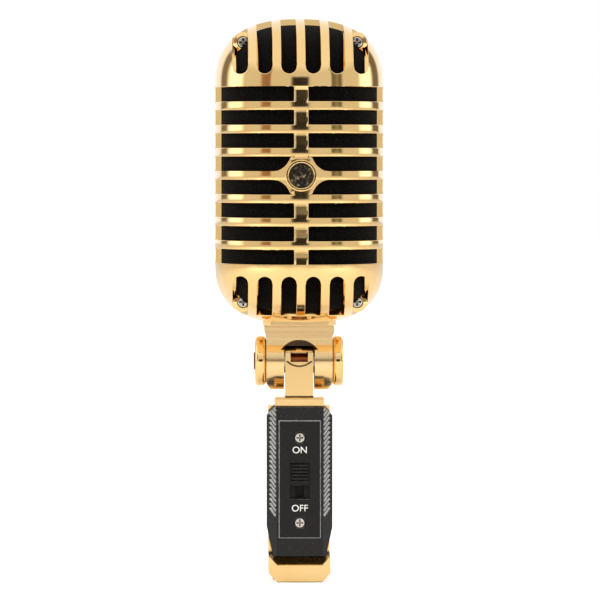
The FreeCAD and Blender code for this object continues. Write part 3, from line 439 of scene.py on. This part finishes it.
def fin_edge(x, start):
    """Height of the rounded slot ends at x, above the start of a dome; bars carry it on level."""
    radius = FIN_WIDTH / 2
    off = min(radius, fin_offset(x))
    return start + radius - math.sqrt(max(0.0, radius * radius - off * off))


def in_fin_slot(x, slack=-1e-6):
    """Whether x is in a fin slot, whose sides are moved out by slack."""
    return fin_offset(x) < FIN_WIDTH / 2 + slack


def dome_angle(height, rise):
    """Angle along a dome's profile at a height."""
    return math.asin(min(1.0, max(0.0, height / rise)) ** (ROUNDNESS / 2))


def band_angle(scale, y):
    """Angle along a dome's profile at which it is y from the seam."""
    return math.acos(min(1.0, y / (HALF_DEPTH * scale)) ** (ROUNDNESS / 2))


def dome_point(x, scale, rise, angle, side):
    """A point of a dome and its outward normal; side is 1 for the crown and -1 below."""
    y = -HALF_DEPTH * scale * max(0.0, math.cos(angle)) ** (2 / ROUNDNESS)
    z = rise * scale * max(0.0, math.sin(angle)) ** (2 / ROUNDNESS)
    grow = ROUNDNESS - 1
    normal = Vector((power(x / HALF_WIDTH, grow) / HALF_WIDTH, power(y / HALF_DEPTH, grow) / HALF_DEPTH,
                     side * power(z / rise, grow) / rise))
    return Vector((x, y, side * (STRAIGHT_HALF + z))), normal.normalized()


def spread(start, end, count):
    return [start + (end - start) * k / count for k in range(1, count + 1)]


def column_points(x, scale, recess, badge):
    """Points up one column from the seam under the head to the seam on the crown.

    Each is (position, normal, recess, mark), where mark names the strip of cells below the point.
    """
    points = []
    in_band = band_angle(scale, BAND)
    # lower dome, from the seam outwards and up
    flat_edge = dome_angle(LOWER_HEIGHT, LOWER_RISE * scale)
    reaches_flat = LOWER_RISE * scale > LOWER_HEIGHT and flat_edge < in_band
    down = Vector((0, 0, -1))

    def lower_at(y):
        if reaches_flat:
            return Vector((x, -y, -STRAIGHT_HALF - LOWER_HEIGHT)), down
        return dome_point(x, scale, LOWER_RISE, band_angle(scale, y), -1)

    for y in (SEAM, BAND / 2, BAND):
        spot, normal = lower_at(min(y, HALF_DEPTH * scale))
        points.append((spot, normal, BAND_RECESS, "band"))
    spot, normal = lower_at(min(BAND, HALF_DEPTH * scale))
    points.append((spot, normal, recess, "step"))
    if reaches_flat:
        edge_spot, edge_normal = dome_point(x, scale, LOWER_RISE, flat_edge, -1)
        for y in spread(BAND, -edge_spot.y, 4)[:-1]:
            points.append((Vector((x, -y, edge_spot.z)), down, recess, "flat"))
        points.append((edge_spot, edge_normal, recess, "flat"))
        rim = flat_edge
    else:
        spot, normal = dome_point(x, scale, LOWER_RISE, in_band, -1)
        points += [(spot, normal, recess, "flat")] * 4
        rim = in_band
    slot_end = min(dome_angle(LOWER_FIN_END, LOWER_RISE * scale), rim)
    slot_start = dome_angle(fin_edge(x, LOWER_FIN_START), LOWER_RISE * scale)
    slot_start = min(slot_start, 0.6 * slot_end)
    for start, end, count, mark in ((rim, slot_end, 3, "dome"), (slot_end, slot_start, 12, "fin"),
                                    (slot_start, 0.0, 6, "dome")):
        for angle in spread(start, end, count):
            spot, normal = dome_point(x, scale, LOWER_RISE, angle, -1)
            points.append((spot, normal, recess, mark))
    # straight zone
    y = -HALF_DEPTH * scale
    grow = ROUNDNESS - 1
    side = Vector((power(x / HALF_WIDTH, grow) / HALF_WIDTH, power(y / HALF_DEPTH, grow) / HALF_DEPTH, 0))
    side.normalize()
    level = -STRAIGHT_HALF
    for row in range(SLOT_ROWS):
        middle = (row - (SLOT_ROWS - 1) / 2) * SLOT_PITCH
        low, high = middle - SLOT_HEIGHT / 2, middle + SLOT_HEIGHT / 2
        bar_steps = 8 if row else 2
        for z in spread(level, low, bar_steps):
            share = (z - level) / (low - level)
            crown = BAR_CROWN * abs(2 * share - 1) ** 2.5 if row else 0.0
            points.append((Vector((x, y, z)), side, recess + (crown if recess == 0 else 0), "bar"))
        edges = [low, high]
        if badge and row in (SLOT_ROWS // 2 - 1, SLOT_ROWS // 2):
            reach = flare_reach(abs(x), low, high, row)
            edges = [low, reach, high]
        for index, (first, second) in enumerate(zip(edges, edges[1:])):
            mark = "slot"
            if len(edges) == 3 and (index == 0) == (row == SLOT_ROWS // 2):
                mark = "flare"
            crown = BAR_CROWN if recess == 0 else 0
            for z in spread(first, second, 4):
                points.append((Vector((x, y, z)), side, recess + crown, mark))
        if not (badge and row in (SLOT_ROWS // 2 - 1, SLOT_ROWS // 2)):
            spot, normal, sink, mark = points[-1]
            points += [(spot, normal, sink, "none")] * 4
        level = high
    for z in spread(level, STRAIGHT_HALF, 2):
        points.append((Vector((x, y, z)), side, recess, "bar"))
    # crown
    slot_start = dome_angle(fin_edge(x, UPPER_FIN_START), CROWN_RISE * scale)
    slot_start = min(slot_start, 0.6 * in_band)
    for start, end, count, mark in ((0.0, slot_start, 6, "dome"), (slot_start, in_band, 16, "fin")):
        for angle in spread(start, end, count):
            spot, normal = dome_point(x, scale, CROWN_RISE, angle, 1)
            points.append((spot, normal, recess, mark))
    for y in (BAND, BAND / 2, SEAM):
        angle = band_angle(scale, min(y, HALF_DEPTH * scale))
        spot, normal = dome_point(x, scale, CROWN_RISE, angle, 1)
        points.append((spot, normal, BAND_RECESS, "band"))
    return points


def flare_reach(x, low, high, row):
    """Height at which the badge plate ends and the slot begins, at a distance from the middle."""
    far = high if row == SLOT_ROWS // 2 else low
    near = low if row == SLOT_ROWS // 2 else high
    if x >= FLARE_X:
        return near
    if x < FLARE_INNER_X:
        return far
    reach = FLARE_Z - math.sqrt(FLARE_RADIUS ** 2 - (FLARE_X - x) ** 2)
    reach = min(max(reach, abs(near)), abs(far))
    return reach if row == SLOT_ROWS // 2 else -reach


def is_open(mark, x, scale):
    """Whether the cell of a strip at x is part of a slot."""
    outside_band = HALF_DEPTH * scale > BAND + 1e-7
    if mark == "fin":
        return in_fin_slot(x)
    if mark == "slot":
        return outside_band and abs(x) > CENTRE_BAR / 2
    return False


def shell_mesh(name, badge):
    """The slotted half shell: outer and inner skins, with walls round every opening and the seam."""
    plan = columns()
    grid = [column_points(x, scale, recess, badge) for x, scale, recess in plan]
    rows = len(grid[0])
    bm = bmesh.new()
    outer, inner = [], []
    for (x, scale, _), column in zip(plan, grid):
        outer_column, inner_column = [], []
        for spot, normal, sink, mark in column:
            skin = spot - normal * sink
            into = normal
            if mark in ("fin", "dome") and normal.z and in_fin_slot(x, 1e-5):
                into = Vector((0, normal.y, normal.z))
                into = into / max(0.6, into.length_squared)
            under = spot - into * WALL
            if abs(spot.y + BAND) < 1e-6 and mark != "band":
                under.y -= END_DRAFT
            outer_column.append(bm.verts.new(skin))
            inner_column.append(bm.verts.new(under))
        outer.append(outer_column)
        inner.append(inner_column)
    solid = []
    for i in range(len(plan) - 1):
        middle_x = (plan[i][0] + plan[i + 1][0]) / 2
        scale = (plan[i][1] + plan[i + 1][1]) / 2
        solid.append([not is_open(grid[i][j + 1][3], middle_x, scale) for j in range(rows - 1)])
    crease = []

    def wall(a, b, c, d):
        bm.faces.new((a, b, c, d))
        crease.append((a, b))

    for i in range(len(plan) - 1):
        for j in range(rows - 1):
            if not solid[i][j]:
                continue
            bm.faces.new((outer[i][j], outer[i + 1][j], outer[i + 1][j + 1], outer[i][j + 1]))
            bm.faces.new((inner[i][j + 1], inner[i + 1][j + 1], inner[i + 1][j], inner[i][j]))
            if j == 0 or not solid[i][j - 1]:
                wall(outer[i][j], inner[i][j], inner[i + 1][j], outer[i + 1][j])
                crease.append((outer[i][j], outer[i + 1][j]))
            if j == rows - 2 or not solid[i][j + 1]:
                wall(outer[i + 1][j + 1], inner[i + 1][j + 1], inner[i][j + 1], outer[i][j + 1])
                crease.append((outer[i][j + 1], outer[i + 1][j + 1]))
            if i == 0 or not solid[i - 1][j]:
                wall(outer[i][j + 1], inner[i][j + 1], inner[i][j], outer[i][j])
                crease.append((outer[i][j], outer[i][j + 1]))
            if i == len(plan) - 2 or not solid[i + 1][j]:
                wall(outer[i + 1][j], inner[i + 1][j], inner[i + 1][j + 1], outer[i + 1][j + 1])
                crease.append((outer[i + 1][j], outer[i + 1][j + 1]))
    skin_verts = {v for column in outer for v in column}
    weight = bm.edges.layers.float.new("bevel_weight_edge")
    for a, b in crease:
        if a in skin_verts and b in skin_verts:
            edge = bm.edges.get((a, b))
            if edge:
                edge[weight] = 1.0
    bmesh.ops.remove_doubles(bm, verts=bm.verts, dist=MERGE)
    bmesh.ops.dissolve_degenerate(bm, edges=bm.edges, dist=MERGE)
    loose = [v for v in bm.verts if not v.link_faces]
    bmesh.ops.delete(bm, geom=loose, context="VERTS")
    bmesh.ops.translate(bm, verts=bm.verts, vec=(0, 0, HEAD_MIDDLE))
    for edge in bm.edges:
        if len(edge.link_faces) == 2 and edge[weight] == 0 and edge.calc_face_angle() > SHARP_TURN:
            edge.smooth = False
    mesh = bpy.data.meshes.new(name)
    bm.to_mesh(mesh)
    bm.free()
    return mesh


def corner_places():
    upper = HEAD_MIDDLE + STRAIGHT_HALF + UPPER_CORNER_RISE
    lower = HEAD_MIDDLE - STRAIGHT_HALF - LOWER_CORNER_DROP
    return [(side * CORNER_X, z) for side in (-1, 1) for z in (upper, lower)]


def add_bosses(mesh):
    """The posts that the corner screws enter, with a counterbore in each."""
    bm = bmesh.new()
    bm.from_mesh(mesh)
    soft = BOSS_SOFT
    front = -BOSS_FRONT
    profile = [(BOSS_RADIUS, -SEAM), (BOSS_RADIUS, front + 2.2 * soft),
               (BOSS_RADIUS - soft * 0.3, front + 1.4 * soft), (BOSS_RADIUS - soft, front + soft),
               (BORE_RADIUS + BORE_LIP, front), (BORE_RADIUS, front + BORE_LIP),
               (BORE_RADIUS, front + BORE_DEPTH), (0, front + BORE_DEPTH)]
    for place in corner_places():
        lathe(bm, profile, place)
    bm.normal_update()
    bm.to_mesh(mesh)
    bm.free()


def half_shell(name, node, badge, turned):
    mesh = shell_mesh(name, badge)
    if turned:
        for vertex in mesh.vertices:
            vertex.co.x, vertex.co.y = -vertex.co.x, -vertex.co.y
    shade_smooth(mesh)
    piece = add_object(name, mesh, GOLD)
    bevel = piece.modifiers.new("round", "BEVEL")
    bevel.width = EDGE_ROUND
    bevel.segments = ROUND_SEGMENTS
    bevel.limit_method = "WEIGHT"
    bevel.use_clamp_overlap = False
    bevel.harden_normals = True
    applied(piece)
    if not turned:
        add_bosses(piece.data)
    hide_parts(node)
    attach(piece, "head")
    return piece


def foam_half(name, node, side):
    """Half of the foam liner: a smooth closed skin just inside the shell, roughened by its cells."""
    inset = WALL + FOAM_GAP
    width, depth = HALF_WIDTH - inset, HALF_DEPTH - inset
    crown, lower = CROWN_RISE - inset, LOWER_RISE - inset
    cut = LOWER_HEIGHT - inset
    dice = random.Random(7 if side < 0 else 8)
    across, along = FOAM_ACROSS, FOAM_ALONG
    bm = bmesh.new()
    skins = []
    for inner in (0.0, FOAM_THICKNESS):
        skin = []
        for i in range(across + 1):
            turn = math.pi * (i / across - 0.5) * 0.996
            x = (width - inner) * power(math.sin(turn), 2 / ROUNDNESS)
            scale = max(0.0, math.cos(turn)) ** (2 / ROUNDNESS)
            column = []
            for j in range(along + 1):
                share = j / along
                column.append(foam_point(share, scale, depth - inner, crown - inner, lower - inner,
                                         cut - inner, x, side, inner, dice))
            skin.append([bm.verts.new(p) for p in column])
        skins.append(skin)
    for skin, flip in ((skins[0], side > 0), (skins[1], side < 0)):
        for i in range(across):
            for j in range(along):
                ring = [skin[i][j], skin[i + 1][j], skin[i + 1][j + 1], skin[i][j + 1]]
                bm.faces.new(ring[::-1] if flip else ring)
    boundary_walls(bm, skins, across, along)
    bmesh.ops.remove_doubles(bm, verts=bm.verts, dist=MERGE)
    bmesh.ops.recalc_face_normals(bm, faces=bm.faces)
    mesh = bpy.data.meshes.new(name)
    bm.to_mesh(mesh)
    bm.free()
    shade_smooth(mesh)
    piece = add_object(name, mesh, FOAM)
    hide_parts(node)
    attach(piece, "head")
    return piece


def boundary_walls(bm, skins, across, along):
    """Joins the two skins of a liner round its open edge."""
    outer, inner = skins
    loop = [(i, 0) for i in range(across)] + [(across, j) for j in range(along)]
    loop += [(i, along) for i in range(across, 0, -1)] + [(0, j) for j in range(along, 0, -1)]
    for (i, j), (m, n) in zip(loop, loop[1:] + loop[:1]):
        bm.faces.new((outer[i][j], outer[m][n], inner[m][n], inner[i][j]))


def foam_point(share, scale, depth, crown, lower, cut, x, side, inner, dice):
    """A point of the liner's skin; share runs from the base seam to the crown seam."""
    grain = 0.0 if inner else dice.uniform(*FOAM_GRAIN) * MM
    low_share, high_share = FOAM_LOW_SHARE, FOAM_HIGH_SHARE
    if share < low_share:
        angle = (1 - share / low_share) * math.pi / 2 * 0.99
        y = depth * scale * math.cos(angle) ** (2 / ROUNDNESS)
        z = -STRAIGHT_HALF - min(cut, lower * scale * math.sin(angle) ** (2 / ROUNDNESS))
    elif share > high_share:
        angle = (share - high_share) / (1 - high_share) * math.pi / 2 * 0.99
        y = depth * scale * math.cos(angle) ** (2 / ROUNDNESS)
        z = STRAIGHT_HALF + crown * scale * math.sin(angle) ** (2 / ROUNDNESS)
    else:
        y = depth * scale
        z = STRAIGHT_HALF * (2 * (share - low_share) / (high_share - low_share) - 1)
    y = max(FOAM_SEAM, y + grain)
    return Vector((x, side * y, HEAD_MIDDLE + z))


half_shell("front_half_shell", "front_grille", True, False)
half_shell("rear_half_shell", "rear_grille", False, True)
foam_half("front_foam_liner", "front_foam", -1)
foam_half("rear_foam_liner", "rear_foam", 1)


# ======================= carried-over and softened pieces =======================
def finish_node(node, material):
    piece = frame["nodes"][node]
    piece.data.materials.clear()
    piece.data.materials.append(material)


SOFTENED = [
    ("yoke_casting", "swivel_yoke", GOLD_BRUSHED, 0.35), ("flange_plate", "yoke_flange", GOLD_BRUSHED, 0.25),
    ("handle_casting", "handle_body", GOLD_SATIN, 0.35), ("cover_moulding", "switch_cover", BLACK, 0.10),
    ("face_plate", "switch_plate", BLACK_PLATE, 0.06), ("slider_button", "switch_knob", BLACK, 0.10),
    ("corner_screw_heads", "housing_screws", SCREW, 0.10),
    ("medallion_ring", "badge_ring", GOLD, 0.06),
]
for name, node, material, width in SOFTENED:
    softened(name, node, material, width * MM)


def paint_passage_shade():
    """Paints shade into the arched recess and the passage of the yoke: a dark metal stands for the shade
    there.
    """
    yoke = bpy.data.objects["yoke_casting"].data
    yoke.materials.append(SHADOWED)
    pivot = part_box("pivot_bolt")
    height = (pivot[0][2] + pivot[1][2]) / 2
    for polygon in yoke.polygons:
        x, y, z = polygon.center
        if abs(x) < ARCH_HALF_WIDTH and abs(y) < PASSAGE_DEPTH and z < height + ARCH_CROWN:
            polygon.material_index = 1


paint_passage_shade()


def paint_highlight(piece, test):
    """Paints a highlight: gives the facets that would catch the light, chosen by a test of centre and normal,
    a paler tone.
    """
    mesh = bpy.data.objects[piece].data
    mesh.materials.append(PAINTED_HIGHLIGHT)
    for polygon in mesh.polygons:
        if test(polygon.center, polygon.normal):
            polygon.material_index = len(mesh.materials) - 1


def upper_flank(centre, normal):
    """The upper side of each dash along the inner edges of the cover, which gets a painted highlight."""
    return centre.y < SERRATION_BACK and normal.z > 0.25 and abs(normal.x) > 0.2 and normal.y < -0.05


def plate_border(centre, normal):
    """The rounded rim of the face plate, which gets a painted highlight."""
    return -0.97 < normal.y < -0.3 and (abs(centre.x) > PLATE_BORDER or abs(normal.z) > 0.3)


# painted highlights on the dashes of the cover and the rim of the face plate
paint_highlight("cover_moulding", upper_flank)
paint_highlight("face_plate", plate_border)

for node, material in (
        ("badge_disc", BADGE), ("pivot_cap_left", GOLD), ("pivot_cap_right", GOLD),
        ("pivot_bolt", SHADED_BOLT), ("pivot_nut", GOLD_SATIN), ("switch_plate_screws", SCREW),
        ("capsule_body", PLASTIC), ("capsule_grille", STEEL),
        ("diaphragm", MEMBRANE), ("voice_coil", COPPER), ("pole_piece", STEEL), ("magnet", MAGNET),
        ("magnet_cup", STEEL), ("capsule_isolator", RUBBER), ("capsule_bracket", STEEL),
        ("capsule_lead", SHEATH), ("yoke_screws", STEEL), ("friction_washers", STEEL),
        ("switch_stem", PLASTIC), ("slide_switch_body", DARK_METAL), ("switch_terminals", COPPER),
        ("xlr_shell", STEEL), ("xlr_insert", PLASTIC), ("xlr_pins", SCREW), ("xlr_screw", SCREW),
        ("stand_thread_insert", BRASS), ("handle_lead", SHEATH)):
    finish_node(node, material)


# ======================= printed words =======================
def printed(name, word, height, z):
    """A plain word in the middle of the face plate."""
    plate_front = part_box("switch_plate")[0][1]
    curve = bpy.data.curves.new(name, "FONT")
    curve.body = word
    curve.size = height / 0.7
    curve.align_x = "CENTER"
    curve.align_y = "CENTER"
    curve.extrude = 0.02 * MM
    text = bpy.data.objects.new(name + "_curve", curve)
    bpy.context.scene.collection.objects.link(text)
    graph = bpy.context.evaluated_depsgraph_get()
    mesh = bpy.data.meshes.new_from_object(text.evaluated_get(graph))
    bpy.data.objects.remove(text)
    for vertex in mesh.vertices:
        across, up, out = vertex.co
        vertex.co = (across, plate_front - 0.01 * MM - out, z + up)
    piece = add_object(name, mesh, WHITE_PRINT)
    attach(piece, "handle")
    return piece


PLATE_LOW, PLATE_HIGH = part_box("switch_plate")
printed("print_on", "ON", WORD_HEIGHT, PLATE_HIGH[2] - WORD_INSET)
printed("print_off", "OFF", WORD_HEIGHT, PLATE_LOW[2] + WORD_INSET)


# ======================= studio =======================
def camera():
    data = bpy.data.cameras.new("camera")
    data.sensor_width = SENSOR
    data.lens = SENSOR * CAMERA_DISTANCE / VIEW_WIDTH
    data.clip_end = 100.0
    body = bpy.data.objects.new("camera", data)
    bpy.context.scene.collection.objects.link(body)
    body.location = (-CAMERA_DISTANCE * math.sin(TURN), -CAMERA_DISTANCE * math.cos(TURN), CAMERA_HEIGHT)
    aim = Vector((AIM_SIDE, 0, AIM_HEIGHT))
    body.rotation_euler = (aim - body.location).to_track_quat("-Z", "Y").to_euler()
    bpy.context.scene.camera = body


def floor():
    """A pale floor, brighter to the camera than in the reflections of the part."""
    bm = bmesh.new()
    bmesh.ops.create_grid(bm, x_segments=8, y_segments=8, size=6.0)
    mesh = bpy.data.meshes.new("floor")
    bm.to_mesh(mesh)
    bm.free()
    material, nodes, links, shader = new_material("pale_floor")
    tone = object_noise(nodes, links, 3.0)
    seen = ramp(nodes, links, tone.outputs["Fac"], [(0.3, grey(0.90)), (0.7, grey(0.93))])
    mirrored = ramp(nodes, links, tone.outputs["Fac"], [(0.3, (0.70, 0.66, 0.60)), (0.7, (0.75, 0.71, 0.65))])
    in_view = nodes.new("ShaderNodeLightPath").outputs["Is Camera Ray"]
    colour = mixed(nodes, links, in_view, mirrored.outputs["Color"], seen.outputs["Color"])
    links.new(colour, shader.inputs["Base Color"])
    glow = computed(nodes, links, "MULTIPLY", in_view, FLOOR_GLOW)
    shader.inputs["Emission Color"].default_value = (1.0, 1.0, 1.0, 1.0)
    links.new(glow, shader.inputs["Emission Strength"])
    shader.inputs["Roughness"].default_value = 0.8
    piece = add_object("floor", mesh, material)


def area_light(name, place, size, energy):
    data = bpy.data.lights.new(name, "AREA")
    data.shape = "RECTANGLE"
    data.size, data.size_y = size
    data.energy = energy
    light = bpy.data.objects.new(name, data)
    bpy.context.scene.collection.objects.link(light)
    light.location = place
    light.rotation_euler = (Vector(LIGHT_AIM) - light.location).to_track_quat("-Z", "Y").to_euler()
    light.visible_glossy = False


def world():
    """A pale studio all round, with the darker room showing between the soft boxes."""
    scene_world = bpy.data.worlds.new("studio")
    bpy.context.scene.world = scene_world
    scene_world.use_nodes = True
    nodes, links = scene_world.node_tree.nodes, scene_world.node_tree.links
    background = nodes["Background"]
    place = nodes.new("ShaderNodeTexCoord")
    split = nodes.new("ShaderNodeSeparateXYZ")
    links.new(place.outputs["Generated"], split.inputs[0])
    ahead = computed(nodes, links, "MULTIPLY", split.outputs["Y"], -1.0)
    turn = computed(nodes, links, "ARCTAN2", split.outputs["X"], ahead)
    share = computed(nodes, links, "MULTIPLY_ADD", turn, 0.5 / math.pi, 0.5)
    # azimuths in degrees from straight ahead of the front, to the right
    pale, dim, soft_box = (1.05, 1.05, 1.05), (0.76, 0.73, 0.68), (1.7, 1.7, 1.7)
    left_gap, right_gap = (0.24, 0.20, 0.15), (0.20, 0.17, 0.12)
    stops = [(-180, pale), (-152, pale), (-146, left_gap), (-134, left_gap), (-122, soft_box),
             (-98, soft_box), (-88, dim), (-54, dim), (-48, (0.40, 0.24, 0.16)),
             (-36, (0.34, 0.20, 0.13)), (-32, dim), (34, dim), (38, (0.14, 0.13, 0.08)),
             (46, (0.30, 0.29, 0.22)), (52, (0.14, 0.12, 0.07)), (58, dim), (92, dim),
             (100, soft_box), (122, soft_box), (132, right_gap), (146, right_gap),
             (152, pale), (180, pale)]
    around = ramp(nodes, links, share, [((a + 180) / 360, c) for a, c in stops])
    # fade to an even pale ceiling and floor
    lift = computed(nodes, links, "ABSOLUTE", split.outputs["Z"])
    fade = ramp(nodes, links, lift, [(0.30, grey(0.0)), (0.55, grey(1.0))])
    room = mixed(nodes, links, fade.outputs["Color"], around.outputs["Color"], (1.02, 1.0, 0.97, 1.0))
    # the dark opening with the camera in it
    level = computed(nodes, links, "MULTIPLY_ADD", split.outputs["Z"], 0.5, 0.5)
    wide = ramp(nodes, links, share, [((a + 180) / 360, grey(c)) for a, c in
                                      ((-6, 0), (-4, 1), (4.5, 1), (6.5, 0))])
    tall = ramp(nodes, links, level, [(0.465, grey(0)), (0.478, grey(1)), (0.575, grey(1)),
                                      (0.60, grey(0))])
    both = computed(nodes, links, "MULTIPLY", wide.outputs["Color"], tall.outputs["Color"])
    opening = mixed(nodes, links, both, room, (0.03, 0.028, 0.025, 1.0))
    # the camera itself sees plain white
    in_view = nodes.new("ShaderNodeLightPath").outputs["Is Camera Ray"]
    plain = mixed(nodes, links, in_view, opening, (1.0, 1.0, 1.0, 1.0))
    links.new(plain, background.inputs["Color"])
    background.inputs["Strength"].default_value = 1.0


camera()
floor()
world()
area_light("key_left", (-1.3, -1.0, 0.9), (0.9, 0.9), 22)
area_light("key_right", (1.3, -1.0, 0.9), (0.9, 0.9), 18)
area_light("overhead", (0, 0.6, 2.2), (3.5, 3.5), 12)
bpy.context.scene.view_settings.view_transform = "Standard"
